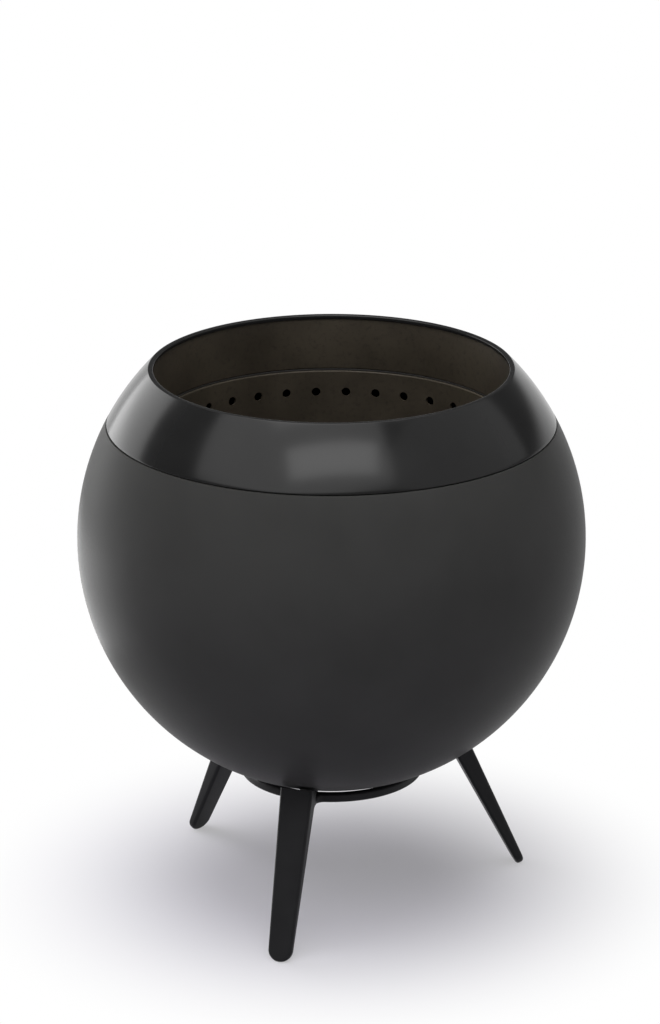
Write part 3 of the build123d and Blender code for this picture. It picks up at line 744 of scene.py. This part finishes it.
bowl = {
    "sheet": 2.0,
    "cone": 116.0,          # inside the cone, at the floor
    "ledge": 12.0,
    "bend": 2.0,
    "edge": 0.3,
    "flangeRound": 1.0,
    "upperHoles": {"Count": 36, "Radius": 4.0, "Drop": 20.0},
    "lowerHoles": {"Count": 24, "Radius": 5.0, "Rise": 18.0},
    "punch": 20.0,          # how long the tool is that cuts them
}
bead = {
    "Bead": 1.1,            # half the bead's width
    "Pitch": 1.7,
    "Seed": 4,
}


def makeBowl():
    sheet, edge = bowl["sheet"], bowl["edge"]
    floorLow, floorTop = boxOf("bowl_floor")[0].z, boxOf("bowl_floor")[1].z
    floorRadius = boxOf("bowl_floor")[1].x
    ledgeTop = boxOf("bowl_cone")[1].z
    wallOut, wallTop = boxOf("bowl_wall")[1].x, boxOf("bowl_wall")[1].z
    wall = wallOut - sheet
    shelf = wall - bowl["ledge"]
    turnedPiece("bowlFloor", [
        (0, floorLow), (floorRadius, floorLow, edge), (floorRadius, floorTop, edge), (0, floorTop),
    ], "bowl", "fired_steel", "bowl_floor")
    turnedPiece("bowlCone", [
        (bowl["cone"], floorTop), (shelf, ledgeTop, bowl["bend"]), (wallOut, ledgeTop, edge),
        (wallOut, ledgeTop - sheet, edge), (shelf + sheet, ledgeTop - sheet, edge),
        (floorRadius, floorTop, edge),
    ], "bowl", "fired_steel", "bowl_cone")
    upper, lower = bowl["upperHoles"], bowl["lowerHoles"]
    across = {"Reach": wall, "Tilt": 90, "Depth": bowl["punch"]}
    high, low = wallTop + sheet - upper["Drop"], ledgeTop + lower["Rise"]
    holes = [
        {**across, "Count": upper["Count"], "Radius": upper["Radius"], "Height": high},
        {**across, "Count": lower["Count"], "Radius": lower["Radius"], "Height": low},
    ]
    turnedPiece("bowlWall", [
        (wall, ledgeTop), (wallOut, ledgeTop), (wallOut, wallTop), (wall, wallTop),
    ], "bowl", "fired_steel", "bowl_wall", roundSteps["wall"], holes)
    flange = boxOf("bowl_flange")[1].x
    turnedPiece("bowlFlange", [
        (wall, wallTop), (flange, wallTop, edge), (flange, wallTop + sheet, edge),
        (wall, wallTop + sheet, bowl["flangeRound"]),
    ], "bowl", "fired_steel", "bowl_flange")
    seams = {"Floor": (floorRadius, floorTop), "Ledge": (wallOut, ledgeTop), "Flange": (wallOut, wallTop)}
    for name, (reach, height) in seams.items():
        values = {**bead, "Reach": reach, "Height": height, "Edge Angle": sharpPast["weld"],
                  "Material": finishes["fired_steel"]}
        mesh = runTree("bowlWeld" + name, bpy.data.meshes.new("seam"), weld, values)
        addPiece("bowlWeld" + name, mesh, "bowl", "fired_steel")


makeBowl()

# What lies in the bowl: the grate, and the ash tray with its riveted handle

grate = {
    "bar": 8.0,
    "slot": 10.0,
    "rim": 11.0,
    "web": 12.0,
    "round": 1.2,          # a casting has no sharp edges
    "roundSteps": 3,
    "slotSteps": 10,
    "outlineSteps": 180,
}


def outline(curve, points):
    # a closed flat outline, in millimetres, as a part of a filled curve
    spline = curve.splines.new("POLY")
    spline.points.add(len(points) - 1)
    for point, (x, y) in zip(spline.points, points):
        point.co = (x * mm, y * mm, 0, 1)
    spline.use_cyclic_u = True


def makeGrate():
    # a disc with rows of round-ended slots, each side of a web, and with rounded edges
    low, high = boxOf("grate")
    radius, middle = high.x, (low.z + high.z) / 2
    curve = bpy.data.curves.new("gratePlan", "CURVE")
    curve.dimensions = "2D"
    curve.fill_mode = "BOTH"
    curve.extrude = ((high.z - low.z) / 2 - grate["round"]) * mm
    curve.bevel_depth = grate["round"] * mm
    curve.bevel_resolution = grate["roundSteps"]
    curve.offset = -grate["round"] * mm
    turns = [math.tau * i / grate["outlineSteps"] for i in range(grate["outlineSteps"])]
    outline(curve, [(radius * math.cos(a), radius * math.sin(a)) for a in turns])
    field, half = radius - grate["rim"], grate["slot"] / 2
    pitch = grate["bar"] + grate["slot"]
    rows = int((field - grate["slot"]) / pitch)
    ends = [math.pi * i / grate["slotSteps"] for i in range(grate["slotSteps"] + 1)]
    for row in range(-rows, rows + 1):
        across = row * pitch
        far = math.sqrt(field ** 2 - (abs(across) + half) ** 2) - half
        near = grate["web"] / 2 + half
        for side in (-1, 1):
            outer = [(side * (far + half * math.sin(a)), across + half * math.cos(a)) for a in ends]
            inner = [(side * (near - half * math.sin(a)), across - half * math.cos(a)) for a in ends]
            outline(curve, outer + inner)
    cast = bpy.data.objects.new("gratePlan", curve)
    bpy.context.collection.objects.link(cast)
    graph = bpy.context.evaluated_depsgraph_get()
    mesh = bpy.data.meshes.new_from_object(cast.evaluated_get(graph), depsgraph=graph)
    bpy.data.objects.remove(cast)
    mesh.transform(Matrix.Translation((0, 0, middle * mm)))
    values = {"Edge Angle": sharpPast["cast"], "Material": finishes["grate_iron"]}
    mesh = runTree("grate", mesh, smoothed, values)
    addPiece("castGrate", mesh, "fire_grate", "grate_iron", "grate")


tray = {
    "sheet": 1.5,
    "floor": 111.0,
    "lip": 5.0,
    "lipRound": 1.5,
    "bend": 5.0,
    "edge": 0.6,
    "handleSpan": 132.0,
    "rivetEdge": 7.5,
    "rivetPitch": 10.0,
    "rivetShank": 2.5,
    "rivetHead": 4.0,
    "rivetHeadHeight": 1.6,
    "rivetCrown": 1.1,
    "strap": 3.0,
}


def makeTray():
    thin, bend, edge = tray["sheet"], tray["bend"], tray["edge"]
    under, top, out = boxOf("ash_tray")[0].z, boxOf("ash_tray")[1].z, boxOf("ash_tray")[1].x
    foot, neck = tray["floor"], out - tray["lip"]
    turnedPiece("ashTray", [
        (0, under), (foot, under, bend), (neck, top - thin, edge), (out, top - thin, edge),
        (out, top, edge), (neck - thin, top, tray["lipRound"]), (foot - thin, under + thin, bend),
        (0, under + thin),
    ], "tray", "tray_steel", "ash_tray")
    shank, head, rise = tray["rivetShank"], tray["rivetHead"], thin + tray["strap"]
    crown = rise + tray["rivetHeadHeight"]
    rivet = turnedMesh("trayRivet", [
        (0, 0), (shank, 0), (shank, rise), (head, rise), (head, crown, tray["rivetCrown"]), (0, crown),
    ], "screw_steel", roundSteps["rivet"])
    x, y = tray["handleSpan"] / 2 - tray["rivetEdge"], tray["rivetPitch"] / 2
    aside = math.degrees(math.atan2(y, x))
    mesh = bmesh.new()
    for start in (aside, -aside):    # two pairs, each a ring of two
        place = {"Count": 2, "Start": start, "Reach": math.hypot(x, y), "Height": under, "Tilt": 0,
                 "Edge Angle": sharpPast["turned"], "Material": finishes["screw_steel"]}
        mesh.from_mesh(runTree("trayRivetPair", rivet, ring, place))
    joined = bpy.data.meshes.new("trayRivets")
    mesh.to_mesh(joined)
    mesh.free()
    joined.materials.append(finishes["screw_steel"])
    addPiece("trayRivets", joined, "tray", "screw_steel", "tray_rivets")


makeGrate()
makeTray()
print("bowl, grate and tray made")

# Inside the ball: the ledge that carries the bowl, and the heat shield on its three screws

seat = {
    "sheet": 2.0,
    "width": 20.0,
    "leg": 12.0,
    "edge": 0.35,
}
shield = {
    "sheet": 1.5,
    "rimHeight": 9.0,
    "flare": 5.0,
    "edge": 0.35,
}
screw = {
    "shank": 3.0,
    "tip": 0.5,             # the chamfer at the shank's end
    "head": 5.0,
    "headHeight": 6.0,
    "chamfer": 0.6,
    "socket": 2.5,          # half of the five millimetres across its flats
    "socketDepth": 3.0,
    "ballLength": 38.0,
    "legLength": 20.0,
    "ballWasher": 6.5,
    "ballWasherThick": 1.6,
    "legWasher": 5.2,
    "legWasherThick": 1.0,
    "washerEdge": 0.25,
}
legSeat = {"Count": 3, "Start": -90, "Reach": 103.96, "Height": 117.21, "Tilt": -117.63}    # under arms


def makeInside():
    top, out = boxOf("seat_ring")[1].z, boxOf("seat_ring")[1].x
    edge, sheet = seat["edge"], seat["sheet"]
    inner, foot = out - seat["width"], top - seat["leg"]
    turnedPiece("seatRing", [
        (out, top, edge), (inner, top, sheet), (inner, foot, edge), (inner + sheet, foot, edge),
        (inner + sheet, top - sheet, edge), (out, top - sheet, edge),
    ], "root", "hidden_steel", "seat_ring")
    low, out = boxOf("heat_shield")[0].z, boxOf("heat_shield")[1].x
    edge, sheet = shield["edge"], shield["sheet"]
    foot, rise = out - shield["flare"], low + shield["rimHeight"]
    holes = {**screwRing, "Height": low, "Radius": screwHole, "Depth": punchDepth}
    turnedPiece("heatShield", [
        (0, low), (foot, low, sheet), (out, rise, edge), (out - sheet, rise, edge),
        (foot - sheet, low + sheet, sheet), (0, low + sheet),
    ], "root", "tray_steel", "heat_shield", holes=[holes])


def screwMesh(name, length):
    # a cap screw whose head stands on the origin: a turned blank with a six-sided socket
    shank, tip = screw["shank"], screw["tip"]
    head, tall, cut = screw["head"], screw["headHeight"], screw["chamfer"]
    blank = turnedMesh(name, [
        (0, -length), (shank - tip, -length), (shank, tip - length), (shank, 0), (head, 0),
        (head, tall - cut), (head - cut, tall), (0, tall),
    ], "screw_steel", roundSteps["screw"])
    values = {"Count": 1, "Start": 0, "Reach": 0, "Tilt": 0, "Height": tall, "Sides": 6,
              "Radius": screw["socket"] / math.cos(math.pi / 6), "Depth": 2 * screw["socketDepth"],
              "Edge Angle": sharpPast["screw"], "Material": finishes["screw_steel"]}
    return runTree(name, blank, pierced, values)


def washerMesh(name, radius, thick):
    # a stamped washer that lies under the origin
    edge = screw["washerEdge"]
    return turnedMesh(name, [
        (screwHole, -thick, edge), (radius, -thick, edge), (radius, 0, edge), (screwHole, 0, edge),
    ], "screw_steel", roundSteps["screw"])


def makeScrews():
    common = {"Edge Angle": sharpPast["screw"], "Material": finishes["screw_steel"]}
    ballSeat = {**screwRing, "Height": boxOf("ball_screw_washers")[1].z, "Tilt": 0}
    ballScrew = screwMesh("ballScrew", screw["ballLength"])
    ballWasher = washerMesh("ballWasher", screw["ballWasher"], screw["ballWasherThick"])
    legScrew = screwMesh("legScrew", screw["legLength"])
    legWasher = washerMesh("legWasher", screw["legWasher"], screw["legWasherThick"])
    kinds = [
        ("ballScrews", ballScrew, ballSeat, "ball_screws"),
        ("ballScrewWashers", ballWasher, ballSeat, "ball_screw_washers"),
        ("legScrews", legScrew, legSeat, "leg_screws"),
        ("legScrewWashers", legWasher, legSeat, "leg_screw_washers"),
    ]
    for name, mesh, place, old in kinds:
        addPiece(name, runTree(name, mesh, ring, {**place, **common}), "root", "screw_steel", old)


makeInside()
makeScrews()
print("inside of the ball made")

# Pieces that keep their CAD shape

kept = {
    "stand_ring": "stand_coat",
    "leg_front": "stand_coat",
    "leg_right": "stand_coat",
    "leg_left": "stand_coat",
    "tray_handle": "tray_steel",
    "shield_spacers": "screw_steel",
}
for name, slot in kept.items():
    modifier = nodes[name].modifiers.new("smooth", "NODES")
    setInputs(modifier, smoothed, {"Edge Angle": sharpPast["kept"], "Material": finishes[slot]})
    for place in nodes[name].material_slots:
        place.material = finishes[slot]
print("CAD pieces coated:", len(kept))

# Floor, world and lamps

studio = {
    "floorHalf": 14,
    "floorColour": "#bbb8c4",
    "floorRough": 0.9,
    "whiteFrom": 0.08,      # metres from the ball's axis where the floor starts to fade to white
    "whiteBy": 0.35,
    "whiteLeast": 0.18,     # the share of white in the middle, painted light that lightens the ball's shadow on the floor
    "bandTop": 2.0,         # degrees: the world is white up to here
    "bandEnd": 10.5,        # and dim from here
    "dim": 0.1,
}
# azimuth and elevation in degrees as seen from the ball, with the camera at 270; a level of 1 is white
lamps = {
    "top": {"azimuth": 100, "elevation": 80, "distance": 2.5, "roll": 0,
            "width": 2.5, "height": 2.5, "level": 1.6},
    "side": {"azimuth": 350, "elevation": 38, "distance": 2.2, "roll": 0,
             "width": 3.0, "height": 1.7, "level": 0.6},
    "overhead": {"azimuth": 235.5, "elevation": 47.2, "distance": 2.6, "roll": 27.4, "flat": True,
                 "width": 3.7, "height": 3.2, "level": 1.95},
    "core": {"azimuth": 271, "elevation": 52, "distance": 1.6, "roll": 4,
             "width": 1.04, "height": 0.4, "level": 3.2},
    "backLeft": {"azimuth": 150.4, "elevation": 5.4, "distance": 1.0, "roll": 33,
                 "width": 0.71, "height": 1.0, "level": 2.3},
    "lowLeft": {"azimuth": 149, "elevation": -22, "distance": 0.57, "roll": 0,
                "width": 0.52, "height": 0.22, "level": 2.4},
}


def makeFloor():
    half = studio["floorHalf"]
    corners = [(-half, -half, 0), (half, -half, 0), (half, half, 0), (-half, half, 0)]
    mesh = bpy.data.meshes.new("floor")
    mesh.from_pydata(corners, [], [(0, 1, 2, 3)])
    floor = bpy.data.objects.new("floor", mesh)
    bpy.context.collection.objects.link(floor)
    material, tree, place = newMaterial("paleFloor")
    paper = addNode(tree, "ShaderNodeBsdfPrincipled", {"Base Color": srgb(studio["floorColour"]),
                                                       "Roughness": studio["floorRough"]})
    # white painted over the floor by distance from the axis: it whitens the floor far off and, nearer in,
    # lightens the ball's shadow as painted light
    away = addNode(tree, "ShaderNodeVectorMath", {0: place}, operation="LENGTH")
    fade = addNode(tree, "ShaderNodeMapRange", {"Value": away.outputs["Value"],
                                                "From Min": studio["whiteFrom"],
                                                "From Max": studio["whiteBy"],
                                                "To Min": studio["whiteLeast"]},
                   interpolation_type="SMOOTHSTEP")
    rays = addNode(tree, "ShaderNodeLightPath").outputs
    seen = addNode(tree, "ShaderNodeMath", {0: rays["Is Camera Ray"], 1: rays["Is Glossy Ray"]},
                   operation="MAXIMUM")
    seen = addNode(tree, "ShaderNodeMath", {0: seen, 1: rays["Is Transmission Ray"]}, operation="MAXIMUM")
    share = addNode(tree, "ShaderNodeMath", {0: seen, 1: fade}, operation="MULTIPLY")
    white = addNode(tree, "ShaderNodeEmission", {"Strength": 1.0})
    blend = addNode(tree, "ShaderNodeMixShader", {0: share, 1: paper, 2: white})
    addNode(tree, "ShaderNodeOutputMaterial", {"Surface": blend})
    mesh.materials.append(material)


def makeWorld():
    world = bpy.data.worlds.new("studio")
    bpy.context.scene.world = world
    world.use_nodes = True
    tree = world.node_tree
    tree.nodes.clear()
    toward = addNode(tree, "ShaderNodeTexCoord").outputs["Generated"]
    height = addNode(tree, "ShaderNodeSeparateXYZ", {0: toward}).outputs["Z"]
    top, end = math.sin(math.radians(studio["bandTop"])), math.sin(math.radians(studio["bandEnd"]))
    level = addNode(tree, "ShaderNodeMapRange", {"Value": height, "From Min": top, "From Max": end,
                                                 "To Min": 1.0, "To Max": studio["dim"]},
                    interpolation_type="SMOOTHSTEP")
    light = addNode(tree, "ShaderNodeBackground", {"Color": (1, 1, 1, 1), "Strength": level})
    addNode(tree, "ShaderNodeOutputWorld", {"Surface": light})


def makeLamps():
    for name, lamp in lamps.items():
        turn = math.radians(lamp["azimuth"] + view["azimuth"])
        lift = math.radians(lamp["elevation"])
        roll = math.radians(lamp["roll"])
        away = Vector((math.cos(turn) * math.cos(lift), math.sin(turn) * math.cos(lift), math.sin(lift)))
        data = bpy.data.lights.new(name, "AREA")
        data.shape = "RECTANGLE"
        data.size, data.size_y = lamp["width"], lamp["height"]
        data.energy = lamp["level"] * math.pi * lamp["width"] * lamp["height"]
        holder = bpy.data.objects.new(name, data)
        holder.location = ballCentre + away * lamp["distance"]
        if lamp.get("flat"):    # hung level, facing the floor
            holder.rotation_euler.z = math.radians(view["azimuth"]) + roll
        else:                   # facing the ball
            facing = away.to_track_quat("Z", "Y").to_matrix()
            holder.rotation_euler = (facing @ Matrix.Rotation(roll, 3, "Z")).to_euler()
        holder.visible_camera = False
        bpy.context.collection.objects.link(holder)


makeFloor()
makeWorld()
makeLamps()
bpy.context.scene.view_settings.view_transform = "Standard"
print("studio lit")
